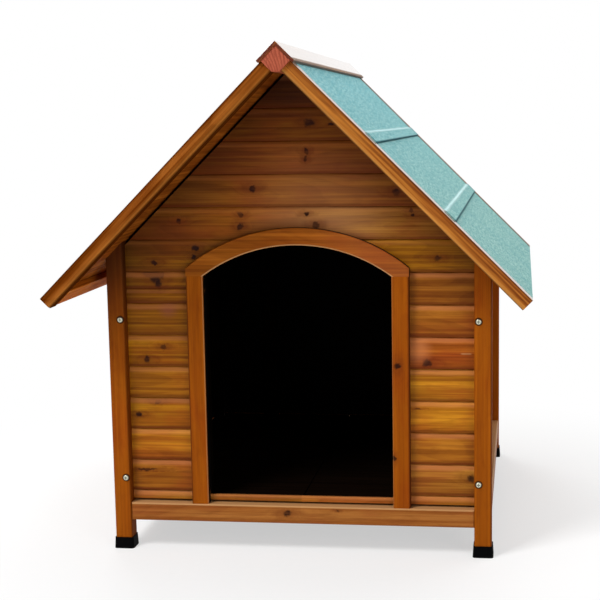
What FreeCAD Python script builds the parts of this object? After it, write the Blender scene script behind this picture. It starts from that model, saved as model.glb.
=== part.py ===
import FreeCAD, Part
import math
import os

from FreeCAD import Vector

# A wooden dog house with a steep felted roof, in millimetres.
# X runs from side to side, Y from the front (low) to the back (high), Z up from the ground.
# The origin lies on the ground, under the middle of the ridge.

# ---------------------------------------------------------------- overall sizes
HEIGHT = 1050.0            # ground to the top edge of the ridge caps
RIDGE_LENGTH = 1120.0      # front end to rear end of the ridge caps
BODY_WIDTH = 800.0         # over the outer faces of the legs
EAVE_OVERHANG = 80.0       # outer face of a leg to the upper edge of an eave
ROOF_PITCH = 45.0          # degrees
FRONT_OVERHANG = 186.0     # ridge end ahead of the front legs
REAR_OVERHANG = 54.0       # ridge end behind the rear legs

# ---------------------------------------------------------------- legs and base
LEG = 36.0                 # square leg
LEG_ROUND = 3.0
FOOT_HEIGHT = 24.0
FOOT_FLOOR = 4.0           # rubber under the end of a leg
FOOT_WALL_TOP = 2.0
FOOT_WALL_BOTTOM = 3.5
RAIL_BOTTOM = 62.0
RAIL_HEIGHT = 38.0
RAIL_RECESS = 2.0          # rail face behind the leg face
RAIL_ROUND = 3.0

# ---------------------------------------------------------------- wall boards
BOARD_RECESS = 22.0        # board face behind the leg face
BOARD_THICK = LEG - BOARD_RECESS
RAIL_GAP = 4.5             # dark gap between the rail and the lowest row
FIRST_ROW_HEIGHT = 19.5    # the lowest row is narrow
FULL_ROWS = 12             # rows of one height, from the lowest row to the top board
TOP_BOARD_HEIGHT = 84.5    # up to the point of a gable
LIP_THICK = 4.7            # lip that laps over the row below
LAP = 6.0                  # height of the tongue behind the lip
LAP_CLEARANCE = 0.3
CROWN_HEIGHT = 15.0        # rounded upper edge of each row
CROWN_MIDDLE_IN = 0.27     # the crown's middle point, as shares of its depth
CROWN_MIDDLE_DOWN = 0.47   # and of its height
NARROW_ROW = 7             # this row is two narrow boards left of the doorway
NARROW_SPLIT = 0.47        # share of the row under the extra seam
WALL_ROOF_GAP = 6.0        # dark gap between the walls and the roof boards
BEAM_CLEARANCE = 1.0

# ---------------------------------------------------------------- doorway
DOOR_HALF_WIDTH = 196.0
THRESHOLD_HEIGHT = 11.5    # what the doorway leaves of the lowest row
DOOR_SPRING = 585.0        # where the jambs end and the arch starts
DOOR_RISE = 64.0
TRIM_WIDTH = 36.0
TRIM_RECESS = 4.0          # trim face behind the leg face
TRIM_ROUND = 3.0
ARCH_ROUND = 2.0

# ---------------------------------------------------------------- inner framing
STUD_THICK = 20.0
STUD_WIDTH = 36.0
STUD_OVERLAP = 18.0        # how far a corner stud reaches behind its leg
GABLE_RAFTER_DEPTH = 36.0
CLEAT = 20.0
CLEAT_DROP = 4.0           # below the top of the rails
JOIST_WIDTH = 36.0

# ---------------------------------------------------------------- floor panels
FLOOR_THICK = 14.0
FLOOR_BOARDS = 8
FLOOR_GAP = 2.5            # free play round each loose panel
FLOOR_SLOT = 1.5           # slot between two floor boards
FLOOR_BATTEN_WIDTH = 40.0
FLOOR_BATTEN_THICK = 12.0
FLOOR_BATTEN_INSET = 60.0  # from each long edge of a panel

# ---------------------------------------------------------------- roof
PANEL_INSET = 8.0          # roof panels end this far inside the ridge ends
VERGE_WIDTH = 36.0
VERGE_THICK = 27.0
VERGE_ROUND_BOTTOM = 6.0
VERGE_ROUND_TOP = 2.0
FELT_THICK = 2.5
DECK_THICK = 12.0
DECK_BOARDS = 7
DECK_SLOT = 0.8
FELT_LAPS = (233.5, 445.5)  # upper edges of the two lower strips, down the slope
FELT_LAP_WIDTH = 27.0
FELT_RAMP = 4.0
ROOF_RAFTER_WIDTH = 36.0
ROOF_RAFTER_END_GAP = 10.0  # from a side wall's studs
EAVE_BATTEN_WIDTH = 40.0
BEAM_SIDE = 40.0
BEAM_CORNER_CUT = 7.5      # height cut off the beam's lower corner
BEAM_END_RECESS = 2.0
CAP_THICK = 6.0
CAP_WIDTH = 46.0

# ---------------------------------------------------------------- fasteners
BOLT_RADIUS = 3.0
BOLT_HEAD_RADIUS = 6.0
BOLT_HEAD_HEIGHT = 3.6
BOLT_ABOVE_RAIL = 55.0     # the lower bolts
BOLT_BELOW_RAFTER = 103.0  # the upper bolts
BOLT_INSET = 27.0          # bolt axis from the outer face of the leg
BOLT_TIP_MARGIN = 2.0
SCREW_RADIUS = 2.0
SCREW_HEAD_RADIUS = 4.0
SCREW_HEAD_HEIGHT = 2.4
SCREW_TIP_MARGIN = 4.0
SCREW_FROM_BEAM = 80.0     # down the slope, to the upper screws
SCREW_FROM_END = 57.0      # up the slope from a rafter's end, to the lower screws
HOLE_CLEARANCE = 0.2
HEAD_ROUND = 0.7           # rounding of a head, as a share of its height
CROSS_REACH = 0.55         # half length of the cross slot, as a share of the head's radius
CROSS_WIDTH = 1.4
CROSS_DEPTH = 1.4

# ---------------------------------------------------------------- derived places
FAR = 3000.0               # longer than anything here
TINY = 0.01
RIDGE_FRONT = -RIDGE_LENGTH / 2
RIDGE_REAR = RIDGE_LENGTH / 2
Y_FRONT = RIDGE_FRONT + FRONT_OVERHANG
Y_REAR = RIDGE_REAR - REAR_OVERHANG
X_LEG = BODY_WIDTH / 2
X_INNER = X_LEG - LEG
RAIL_TOP = RAIL_BOTTOM + RAIL_HEIGHT
BOARDS_BOTTOM = RAIL_TOP + RAIL_GAP
FIRST_SEAM = BOARDS_BOTTOM + FIRST_ROW_HEIGHT
DOOR_SILL = BOARDS_BOTTOM + THRESHOLD_HEIGHT
CLEAT_TOP = RAIL_TOP - CLEAT_DROP
FLOOR_TOP = CLEAT_TOP + FLOOR_THICK
STUD_X_OUT = X_INNER + STUD_OVERLAP
STUD_X_IN = STUD_X_OUT - STUD_WIDTH
CLEAT_OUT = X_INNER - STUD_THICK
CLEAT_IN = CLEAT_OUT - CLEAT
DOOR_RADIUS = (DOOR_HALF_WIDTH ** 2 + DOOR_RISE ** 2) / (2 * DOOR_RISE)
DOOR_CENTRE = DOOR_SPRING + DOOR_RISE - DOOR_RADIUS
TRIM_OUT = DOOR_HALF_WIDTH + TRIM_WIDTH
TRIM_THICK = BOARD_RECESS - TRIM_RECESS
PANEL_FRONT = RIDGE_FRONT + PANEL_INSET
PANEL_REAR = RIDGE_REAR - PANEL_INSET
DECK_FRONT = PANEL_FRONT + VERGE_WIDTH
DECK_REAR = PANEL_REAR - VERGE_WIDTH

# Places on the roof use two lengths: s runs down the slope from the ridge line of the
# felt, and n stands square to the slope, zero on top of the felt and negative below it.
COS_PITCH = math.cos(math.radians(ROOF_PITCH))
SIN_PITCH = math.sin(math.radians(ROOF_PITCH))
RIDGE_Z = HEIGHT - CAP_THICK / COS_PITCH
S_EAVE = (X_LEG + EAVE_OVERHANG) / COS_PITCH
DECK_TOP = -FELT_THICK
DECK_UNDER = DECK_TOP - DECK_THICK
WALL_CUT = DECK_UNDER - WALL_ROOF_GAP
RAFTER_UNDER = DECK_UNDER - GABLE_RAFTER_DEPTH
DECK_END = S_EAVE - FELT_THICK
ROOF_RAFTER_END = (X_INNER - STUD_THICK - ROOF_RAFTER_END_GAP - DECK_UNDER * SIN_PITCH) / COS_PITCH
GABLE_TOP = RIDGE_Z + WALL_CUT / COS_PITCH
BOARD_PITCH = (GABLE_TOP - TOP_BOARD_HEIGHT - FIRST_SEAM) / FULL_ROWS
BEAM_UNDERSIDE = RIDGE_Z - BEAM_SIDE / SIN_PITCH + BEAM_CORNER_CUT


# ---------------------------------------------------------------- plain helpers
def box(x0, x1, y0, y1, z0, z1):
    """Box between two values on each axis, in either order."""
    low = Vector(min(x0, x1), min(y0, y1), min(z0, z1))
    return Part.makeBox(abs(x1 - x0), abs(y1 - y0), abs(z1 - z0), low)


def prism(points, sweep):
    """Closed outline of points pushed along the vector sweep."""
    return Part.Face(Part.makePolygon(points + points[:1])).extrude(sweep)


def mirrored(shape):
    """The same piece on the other side of the middle plane."""
    return shape.mirror(Vector(0, 0, 0), Vector(1, 0, 0))


def rotated(x, y, degrees, z):
    """Point turned about the Z axis."""
    angle = math.radians(degrees)
    return Vector(x * math.cos(angle) - y * math.sin(angle), x * math.sin(angle) + y * math.cos(angle), z)


def flipped(spot):
    """The same point on the other side of the middle plane."""
    return Vector(-spot.x, spot.y, spot.z)


def rounded(shape, radius, chosen):
    """Shape with a radius on every edge that chosen(middle, direction) picks."""
    edges = []
    for edge in shape.Edges:
        ends = [vertex.Point for vertex in edge.Vertexes]
        if len(ends) != 2:
            continue
        direction = (ends[1] - ends[0]).normalize()
        if chosen((ends[0] + ends[1]) * 0.5, direction):
            edges.append(edge)
    return shape.makeFillet(radius, edges)


def joined(shapes):
    """Separate solids kept together in one node."""
    solids = [solid for shape in shapes for solid in shape.Solids]
    return solids[0] if len(solids) == 1 else Part.makeCompound(solids)


def save(name, *shapes):
    joined(shapes).exportStep("parts/" + name + ".step")


def slope_z(x, n):
    """Height over x of the plane that lies n off the felt's top."""
    return RIDGE_Z + (n - abs(x) * SIN_PITCH) / COS_PITCH


def slope_point(s, n, y):
    """Point of the right-hand slope."""
    return Vector(s * COS_PITCH + n * SIN_PITCH, y, RIDGE_Z - s * SIN_PITCH + n * COS_PITCH)


def slope_piece(outline, y0, y1):
    """Right-hand roof piece with the outline [(s, n), ...], from y0 to y1."""
    return prism([slope_point(s, n, y0) for s, n in outline], Vector(0, y1 - y0, 0))


def slope_bar(s0, s1, n0, n1, y0, y1):
    return slope_piece([(s0, n0), (s1, n0), (s1, n1), (s0, n1)], y0, y1)


def under_roof(n):
    """Everything below both planes that lie n off the felt's top."""
    edge = slope_z(FAR, n)
    outline = [(-FAR, edge - FAR), (FAR, edge - FAR), (FAR, edge), (0, slope_z(0, n)), (-FAR, edge)]
    return prism([Vector(x, -FAR, z) for x, z in outline], Vector(0, 2 * FAR, 0))


def cylinder_y(x, y0, y1, z, radius):
    """Cylinder between two y values."""
    return Part.makeCylinder(radius, abs(y1 - y0), Vector(x, min(y0, y1), z), Vector(0, 1, 0))


# ---------------------------------------------------------------- ridge
def beam_outline(grow):
    """Section of the ridge beam in x and z: a square on edge with its lower corner cut."""
    side = BEAM_SIDE + grow
    corner = slope_point(side, grow, 0)
    top = RIDGE_Z + grow / COS_PITCH
    flat = BEAM_UNDERSIDE - grow
    half = corner.x - (corner.z - flat) * SIN_PITCH / COS_PITCH
    return [(0, top), (corner.x, corner.z), (half, flat), (-half, flat), (-corner.x, corner.z)]


def beam_prism(grow, y0, y1):
    return prism([Vector(x, y0, z) for x, z in beam_outline(grow)], Vector(0, y1 - y0, 0))


def ridge_cap():
    """Right-hand cap board, mitred against the left one on the middle plane."""
    mitre = -CAP_THICK * SIN_PITCH / COS_PITCH
    outline = [(0, 0), (CAP_WIDTH, 0), (CAP_WIDTH, CAP_THICK), (mitre, CAP_THICK)]
    return slope_piece(outline, RIDGE_FRONT, RIDGE_REAR)


# ---------------------------------------------------------------- legs and base
def leg_bar(z0, grow_low, grow_high, z1, radius):
    """Upright square bar round the leg at x 0 and y 0, tapering if its grows differ."""
    def ring(grow, z):
        half = LEG / 2 + grow
        side = half - radius - grow
        arc = half - (half - side) * (1 - math.sqrt(0.5))
        points = [(side, half), (arc, arc), (half, side)]
        edges = []
        for turn in range(4):
            angle = -90 * turn
            spots = [rotated(x, y, angle, z) for x, y in points]
            follow = rotated(*points[0], angle - 90, z)
            edges.append(Part.Arc(*spots).toShape())
            edges.append(Part.makeLine(spots[2], follow))
        return Part.Wire(edges)
    return Part.makeLoft([ring(grow_low, z0), ring(grow_high, z1)], True, True)


def leg_places():
    """Name, x and y of each leg's axis, and the sign of its outward y."""
    x = X_LEG - LEG / 2
    for end, y, outward in (("front", Y_FRONT + LEG / 2, -1), ("rear", Y_REAR - LEG / 2, 1)):
        yield end + "_left_leg", -x, y, outward
        yield end + "_right_leg", x, y, outward


def bolt_places():
    """x, face y, z and outward sign of each leg bolt."""
    for _, x, y, outward in leg_places():
        bolt_x = math.copysign(X_LEG - BOLT_INSET, x)
        for z in (RAIL_TOP + BOLT_ABOVE_RAIL, slope_z(bolt_x, RAFTER_UNDER) - BOLT_BELOW_RAFTER):
            yield bolt_x, y + outward * LEG / 2, z, outward


def bolt_holes():
    reach = LEG + STUD_THICK
    radius = BOLT_RADIUS + HOLE_CLEARANCE
    return [cylinder_y(x, y + outward, y - outward * reach, z, radius) for x, y, z, outward in bolt_places()]


def make_legs():
    holes = joined(bolt_holes())
    roof = under_roof(DECK_UNDER)
    for name, x, y, _ in leg_places():
        place = Vector(x, y, 0)
        leg = leg_bar(FOOT_FLOOR, 0, 0, HEIGHT, LEG_ROUND).translate(place)
        save(name, leg.common(roof).cut(holes))
        cap = leg_bar(0, FOOT_WALL_BOTTOM, FOOT_WALL_TOP, FOOT_HEIGHT, LEG_ROUND)
        pocket = leg_bar(FOOT_FLOOR, 0, 0, FOOT_HEIGHT + FOOT_FLOOR, LEG_ROUND)
        save(name.replace("leg", "foot_cap"), cap.cut(pocket).translate(place))


def make_rails():
    front = box(-X_INNER, X_INNER, Y_FRONT + RAIL_RECESS, Y_FRONT + LEG, RAIL_BOTTOM, RAIL_TOP)
    front_face = Y_FRONT + RAIL_RECESS
    front = rounded(front, RAIL_ROUND, lambda mid, way: abs(mid.y - front_face) < TINY)
    save("front_rail", front)
    middle = Vector(0, (Y_FRONT + Y_REAR) / 2, 0)
    save("rear_rail", front.mirror(middle, Vector(0, 1, 0)))
    side_face = X_LEG - RAIL_RECESS
    side = box(X_INNER, side_face, Y_FRONT + LEG, Y_REAR - LEG, RAIL_BOTTOM, RAIL_TOP)
    side = rounded(side, RAIL_ROUND, lambda mid, way: abs(mid.x - side_face) < TINY)
    save("right_rail", side)
    save("left_rail", mirrored(side))


# ---------------------------------------------------------------- wall boards
# Each wall is laid out with u along it, d inward from the leg faces and z up.
def front_place(u, d, z):
    return Vector(u, Y_FRONT + d, z)


def rear_place(u, d, z):
    return Vector(u, Y_REAR - d, z)


def left_place(u, d, z):
    return Vector(-X_LEG + d, u, z)


def right_place(u, d, z):
    return Vector(X_LEG - d, u, z)


def lapped_board(place, u0, u1, bottom, top):
    """Board with a rounded upper edge and a tongue, lapped over the row below."""
    face = BOARD_RECESS
    back = BOARD_RECESS + BOARD_THICK
    tongue = face + LIP_THICK + LAP_CLEARANCE
    crown = min(CROWN_HEIGHT, (top - bottom) / 2)
    middle = (face + (tongue - face) * CROWN_MIDDLE_IN, top - crown * CROWN_MIDDLE_DOWN)
    rebate = bottom + LAP + LAP_CLEARANCE
    path = [(face, bottom), (face, top - crown), middle, (tongue, top), (tongue, top + LAP),
            (back, top + LAP), (back, rebate), (face + LIP_THICK, rebate), (face + LIP_THICK, bottom)]
    spots = [place(u0, d, z) for d, z in path]
    edges = [Part.makeLine(spots[0], spots[1]), Part.Arc(*spots[1:4]).toShape()]
    for start, end in zip(spots[3:], spots[4:] + spots[:1]):
        edges.append(Part.makeLine(start, end))
    return Part.Face(Part.Wire(edges)).extrude(place(u1, 0, 0) - place(u0, 0, 0))


def rows(limit):
    """Bottom and top of each row that starts below the limit."""
    heights = [(BOARDS_BOTTOM, FIRST_SEAM)]
    while heights[-1][1] < limit:
        seam = heights[-1][1]
        heights.append((seam, seam + BOARD_PITCH))
    return heights


def gable_rows():
    """Rows of a gable wall; the last runs on up to the roof."""
    heights = rows(GABLE_TOP - TOP_BOARD_HEIGHT / 2)
    last = heights.pop()
    return heights + [(last[0], GABLE_TOP)]


def doorway():
    """The opening's prism, open at the front and reaching through the wall."""
    half = DOOR_HALF_WIDTH
    y = Y_FRONT - LEG
    low_left = Vector(-half, y, DOOR_SILL)
    low_right = Vector(half, y, DOOR_SILL)
    high_right = Vector(half, y, DOOR_SPRING)
    high_left = Vector(-half, y, DOOR_SPRING)
    crown = Vector(0, y, DOOR_SPRING + DOOR_RISE)
    edges = [Part.makeLine(high_left, low_left), Part.makeLine(low_left, low_right),
             Part.makeLine(low_right, high_right), Part.Arc(high_right, crown, high_left).toShape()]
    return Part.Face(Part.Wire(edges)).extrude(Vector(0, LEG * 3, 0))


def gable_board(place, bottom, top):
    """Full-width gable board, cut to the slopes and round the ridge beam."""
    board = lapped_board(place, -X_INNER, X_INNER, bottom, top)
    board = board.common(under_roof(WALL_CUT))
    return board.cut(beam_prism(BEAM_CLEARANCE, RIDGE_FRONT, RIDGE_REAR))


def make_front_boards():
    opening = doorway()
    left_half = box(-BODY_WIDTH, 0, Y_FRONT, Y_FRONT + LEG, 0, HEIGHT)
    right_half = mirrored(left_half)
    for index, (bottom, top) in enumerate(gable_rows()):
        board = gable_board(front_place, bottom, top).cut(opening)
        name = "front_board_%02d" % index
        if index == NARROW_ROW:
            split = bottom + (top - bottom) * NARROW_SPLIT
            lower = gable_board(front_place, bottom, split).cut(opening).common(left_half)
            upper = gable_board(front_place, split, top).cut(opening).common(left_half)
            save(name, lower, upper, board.common(right_half))
        else:
            save(name, board)


def make_rear_boards():
    save("rear_wall_boards", *[gable_board(rear_place, bottom, top) for bottom, top in gable_rows()])


def make_side_boards():
    wall_top = slope_z(X_LEG - BOARD_RECESS, WALL_CUT)
    start = Y_FRONT + LEG + STUD_THICK
    end = Y_REAR - LEG - STUD_THICK
    below = box(-BODY_WIDTH, BODY_WIDTH, RIDGE_FRONT, RIDGE_REAR, 0, wall_top)
    for name, place in (("left_wall_boards", left_place), ("right_wall_boards", right_place)):
        boards = [lapped_board(place, start, end, bottom, top) for bottom, top in rows(wall_top)]
        save(name, *[board.common(below) for board in boards])


# ---------------------------------------------------------------- doorway trim
def make_trim():
    y0 = Y_FRONT + TRIM_RECESS
    y1 = Y_FRONT + BOARD_RECESS
    stile = box(DOOR_HALF_WIDTH, TRIM_OUT, y0, y1, RAIL_TOP, DOOR_SPRING)
    stile = rounded(stile, TRIM_ROUND, lambda mid, way: abs(mid.y - y0) < TINY and abs(way.z) > 0.5)
    save("door_right_stile", stile)
    save("door_left_stile", mirrored(stile))

    outer = DOOR_RADIUS + TRIM_WIDTH
    shoulder = DOOR_CENTRE + math.sqrt(outer ** 2 - TRIM_OUT ** 2)
    low_out = Vector(TRIM_OUT, y0, DOOR_SPRING)
    high_out = Vector(TRIM_OUT, y0, shoulder)
    low_in = Vector(DOOR_HALF_WIDTH, y0, DOOR_SPRING)
    outer_top = Vector(0, y0, DOOR_CENTRE + outer)
    inner_top = Vector(0, y0, DOOR_SPRING + DOOR_RISE)
    edges = [Part.makeLine(low_in, low_out), Part.makeLine(low_out, high_out),
             Part.Arc(high_out, outer_top, flipped(high_out)).toShape(),
             Part.makeLine(flipped(high_out), flipped(low_out)),
             Part.makeLine(flipped(low_out), flipped(low_in)),
             Part.Arc(flipped(low_in), inner_top, low_in).toShape()]
    head = Part.Face(Part.Wire(edges)).extrude(Vector(0, TRIM_THICK, 0))

    def curved_front(mid, way):
        return abs(mid.y - y0) < TINY and abs(mid.x) < TINY
    save("door_arch_head", rounded(head, ARCH_ROUND, curved_front))


# ---------------------------------------------------------------- inner framing
def gable_frame_span(front):
    """Near and far y of the framing behind a gable wall's boards."""
    if front:
        return Y_FRONT + LEG, Y_FRONT + LEG + STUD_THICK
    return Y_REAR - LEG - STUD_THICK, Y_REAR - LEG


def screw_places():
    """Face y, outward sign, s of each roof screw on the right-hand slope."""
    for front in (True, False):
        y0, y1 = gable_frame_span(front)
        face = y1 + ROOF_RAFTER_WIDTH if front else y0 - ROOF_RAFTER_WIDTH
        for s in (BEAM_SIDE + SCREW_FROM_BEAM, ROOF_RAFTER_END - SCREW_FROM_END):
            yield face, (1 if front else -1), s


def screw_axis(s):
    return slope_point(s, (DECK_UNDER - VERGE_THICK) / 2, 0)


def screw_holes():
    radius = SCREW_RADIUS + HOLE_CLEARANCE
    reach = ROOF_RAFTER_WIDTH + STUD_THICK
    holes = []
    for face, outward, s in screw_places():
        axis = screw_axis(s)
        hole = cylinder_y(axis.x, face + outward, face - outward * reach, axis.z, radius)
        holes += [hole, mirrored(hole)]
    return joined(holes)


def make_gable_frames():
    roof = under_roof(RAFTER_UNDER)
    holes = joined(bolt_holes())
    corners = []
    uprights = []
    for front in (True, False):
        y0, y1 = gable_frame_span(front)
        rafter = slope_bar(BEAM_SIDE, S_EAVE, RAFTER_UNDER, DECK_UNDER, y0, y1)
        rafter = rafter.common(box(0, STUD_X_OUT, y0, y1, 0, HEIGHT)).cut(screw_holes())
        save("front_gable_rafters" if front else "rear_gable_rafters", rafter, mirrored(rafter))
        corner = box(STUD_X_IN, STUD_X_OUT, y0, y1, RAIL_TOP, HEIGHT).common(roof)
        corners += [corner.cut(holes), mirrored(corner).cut(holes)]
        upright = box(DOOR_HALF_WIDTH, TRIM_OUT, y0, y1, CLEAT_TOP, HEIGHT).common(roof)
        uprights += [upright, mirrored(upright)]
    save("corner_studs", *corners)
    save("gable_wall_studs", *uprights)


def side_stud_spans():
    """y range of each stud inside a side wall."""
    first = Y_FRONT + LEG + STUD_THICK
    last = Y_REAR - LEG - STUD_THICK - STUD_WIDTH
    return [(y, y + STUD_WIDTH) for y in (first, (first + last) / 2, last)]


def make_side_studs():
    wall_top = slope_z(X_LEG - BOARD_RECESS, WALL_CUT)
    studs = []
    for y0, y1 in side_stud_spans():
        stud = box(X_INNER - STUD_THICK, X_INNER, y0, y1, RAIL_BOTTOM, wall_top)
        studs += [stud, mirrored(stud)]
    save("side_wall_studs", *studs)


# ---------------------------------------------------------------- floor
def make_cleats():
    y0 = Y_FRONT + LEG
    y1 = Y_REAR - LEG
    low = CLEAT_TOP - CLEAT
    side = box(CLEAT_IN, CLEAT_OUT, y0, y1, low, CLEAT_TOP)
    front = box(-CLEAT_IN, CLEAT_IN, y0, y0 + CLEAT, low, CLEAT_TOP)
    rear = box(-CLEAT_IN, CLEAT_IN, y1 - CLEAT, y1, low, CLEAT_TOP)
    save("floor_cleats", side, mirrored(side), front, rear)
    half = JOIST_WIDTH / 2
    save("floor_joist", box(-half, half, y0 + CLEAT, y1 - CLEAT, RAIL_BOTTOM, CLEAT_TOP))


def floor_obstacles():
    """Footprints that a panel goes round, grown by its free play."""
    spans = [(X_INNER - STUD_THICK, X_LEG, y0, y1) for y0, y1 in side_stud_spans()]
    for front in (True, False):
        y0, y1 = gable_frame_span(front)
        spans.append((STUD_X_IN, X_LEG, y0, y1))
        spans.append((DOOR_HALF_WIDTH, TRIM_OUT, y0, y1))
    gap = FLOOR_GAP
    return joined([box(x0 - gap, x1 + gap, y0 - gap, y1 + gap, 0, HEIGHT) for x0, x1, y0, y1 in spans])


def make_floor():
    y0 = Y_FRONT + LEG + FLOOR_GAP
    y1 = Y_REAR - LEG - FLOOR_GAP
    x0 = FLOOR_GAP / 2
    x1 = X_INNER - FLOOR_GAP
    pitch = (y1 - y0 + FLOOR_SLOT) / FLOOR_BOARDS
    obstacles = floor_obstacles()
    boards = []
    for index in range(FLOOR_BOARDS):
        start = y0 + index * pitch
        boards.append(box(x0, x1, start, start + pitch - FLOOR_SLOT, CLEAT_TOP, FLOOR_TOP).cut(obstacles))
    battens = []
    batten_y0 = y0 + CLEAT + FLOOR_GAP
    batten_y1 = y1 - CLEAT - FLOOR_GAP
    for x in (x0 + FLOOR_BATTEN_INSET, CLEAT_IN - FLOOR_BATTEN_INSET - FLOOR_BATTEN_WIDTH):
        low = CLEAT_TOP - FLOOR_BATTEN_THICK
        battens.append(box(x, x + FLOOR_BATTEN_WIDTH, batten_y0, batten_y1, low, CLEAT_TOP))
    save("right_floor_boards", *boards)
    save("left_floor_boards", *[mirrored(board) for board in boards])
    save("right_floor_battens", *battens)
    save("left_floor_battens", *[mirrored(batten) for batten in battens])


# ---------------------------------------------------------------- roof panels
def save_pair(name, *shapes):
    """Right-hand roof pieces and their mirror images."""
    save("right_" + name, *shapes)
    save("left_" + name, *[mirrored(shape) for shape in shapes])


def verge_batten(y0, outward):
    """Edge batten of a roof panel; outward is the sign of its outer y."""
    y1 = y0 + outward * VERGE_WIDTH
    batten = slope_bar(BEAM_SIDE, S_EAVE, -VERGE_THICK, 0, y0, y1)
    for n, radius in ((-VERGE_THICK, VERGE_ROUND_BOTTOM), (0, VERGE_ROUND_TOP)):
        centre = slope_point((BEAM_SIDE + S_EAVE) / 2, n, y1)
        batten = rounded(batten, radius, lambda mid, way: (mid - centre).Length < TINY)
    return batten


def felt_strips():
    """Three strips from the eave up, each lapped over the one below."""
    thick = FELT_THICK
    tops = [BEAM_SIDE, *FELT_LAPS]
    strips = []
    for index, top in enumerate(tops):
        if index + 1 < len(tops):
            lap = tops[index + 1]
            outline = [(top, -thick), (lap - FELT_RAMP, -thick), (lap, 0), (lap + FELT_LAP_WIDTH, 0),
                       (lap + FELT_LAP_WIDTH, thick), (lap, thick), (lap - FELT_RAMP, 0), (top, 0)]
        else:
            outline = [(top, -thick), (DECK_END, -thick), (DECK_END, DECK_UNDER), (S_EAVE, DECK_UNDER),
                       (S_EAVE, 0), (top, 0)]
        strips.append(slope_piece(outline, DECK_FRONT, DECK_REAR))
    return strips


def deck_boards():
    pitch = (DECK_END - BEAM_SIDE + DECK_SLOT) / DECK_BOARDS
    boards = []
    for index in range(DECK_BOARDS):
        start = BEAM_SIDE + index * pitch
        end = start + pitch - DECK_SLOT
        boards.append(slope_bar(start, end, DECK_UNDER, DECK_TOP, DECK_FRONT, DECK_REAR))
    return boards


def roof_rafters():
    """Battens under the roof boards, inside the walls."""
    low = -VERGE_THICK
    front_start = gable_frame_span(True)[1]
    rear_start = gable_frame_span(False)[0] - ROOF_RAFTER_WIDTH
    starts = [front_start, (front_start + rear_start) / 2, rear_start]
    holes = screw_holes()
    bars = []
    for y in starts:
        bar = slope_bar(BEAM_SIDE, ROOF_RAFTER_END, low, DECK_UNDER, y, y + ROOF_RAFTER_WIDTH)
        bars.append(bar.cut(holes))
    return bars


def make_roof():
    beam = beam_prism(0, RIDGE_FRONT + BEAM_END_RECESS, RIDGE_REAR - BEAM_END_RECESS)
    save("ridge_beam", beam)
    save_pair("ridge_cap", ridge_cap())
    save_pair("front_verge_batten", verge_batten(DECK_FRONT, -1))
    save_pair("rear_verge_batten", verge_batten(DECK_REAR, 1))
    eave_start = DECK_END - EAVE_BATTEN_WIDTH
    eave = slope_bar(eave_start, DECK_END, -VERGE_THICK, DECK_UNDER, DECK_FRONT, DECK_REAR)
    save_pair("eave_batten", eave)
    save_pair("roof_boards", *deck_boards())
    save_pair("roof_rafters", *roof_rafters())
    save_pair("roof_felt", *felt_strips())


# ---------------------------------------------------------------- fasteners
def fastener(x, face, z, outward, radius, length, head_radius, head_height):
    """Screw with a domed cross-slotted head on the face, its shank going inward."""
    tip = face - outward * length
    crest = face + outward * head_height
    head = cylinder_y(x, face, crest, z, head_radius)
    head = rounded_head(head, crest, head_height * HEAD_ROUND)
    shank = cylinder_y(x, face, tip, z, radius)
    long = head_radius * CROSS_REACH
    short = CROSS_WIDTH / 2
    slot_floor = crest - outward * CROSS_DEPTH
    level = box(x - long, x + long, slot_floor, crest + outward, z - short, z + short)
    upright = box(x - short, x + short, slot_floor, crest + outward, z - long, z + long)
    return head.fuse(shank).cut(level.fuse(upright)).removeSplitter()


def rounded_head(head, crest, radius):
    rim = [edge for edge in head.Edges if abs(edge.CenterOfMass.y - crest) < TINY]
    return head.makeFillet(radius, rim)


def make_fasteners():
    bolt_length = LEG + STUD_THICK - BOLT_TIP_MARGIN
    bolts = [fastener(x, face, z, outward, BOLT_RADIUS, bolt_length, BOLT_HEAD_RADIUS, BOLT_HEAD_HEIGHT)
             for x, face, z, outward in bolt_places()]
    save("leg_bolts", *bolts)
    screw_length = ROOF_RAFTER_WIDTH + STUD_THICK - SCREW_TIP_MARGIN
    screws = []
    for face, outward, s in screw_places():
        axis = screw_axis(s)
        screw = fastener(axis.x, face, axis.z, outward, SCREW_RADIUS, screw_length,
                         SCREW_HEAD_RADIUS, SCREW_HEAD_HEIGHT)
        screws += [screw, mirrored(screw)]
    save("roof_screws", *screws)


def main():
    os.makedirs("parts", exist_ok=True)
    make_legs()
    make_rails()
    make_front_boards()
    make_rear_boards()
    make_side_boards()
    make_trim()
    make_gable_frames()
    make_side_studs()
    make_cleats()
    make_floor()
    make_roof()
    make_fasteners()


main()
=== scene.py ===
import math

import bpy
from mathutils import Matrix, Vector


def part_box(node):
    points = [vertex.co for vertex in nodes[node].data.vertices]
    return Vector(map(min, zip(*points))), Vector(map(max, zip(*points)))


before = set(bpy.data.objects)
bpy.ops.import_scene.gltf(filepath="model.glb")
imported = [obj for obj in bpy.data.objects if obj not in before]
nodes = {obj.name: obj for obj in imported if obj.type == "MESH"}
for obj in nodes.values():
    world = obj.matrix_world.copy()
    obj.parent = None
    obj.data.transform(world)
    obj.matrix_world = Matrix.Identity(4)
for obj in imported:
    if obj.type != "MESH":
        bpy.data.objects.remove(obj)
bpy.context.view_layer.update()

# Everything is in metres, in the frame of the part: +Z up, the doorway faces -Y.

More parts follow.
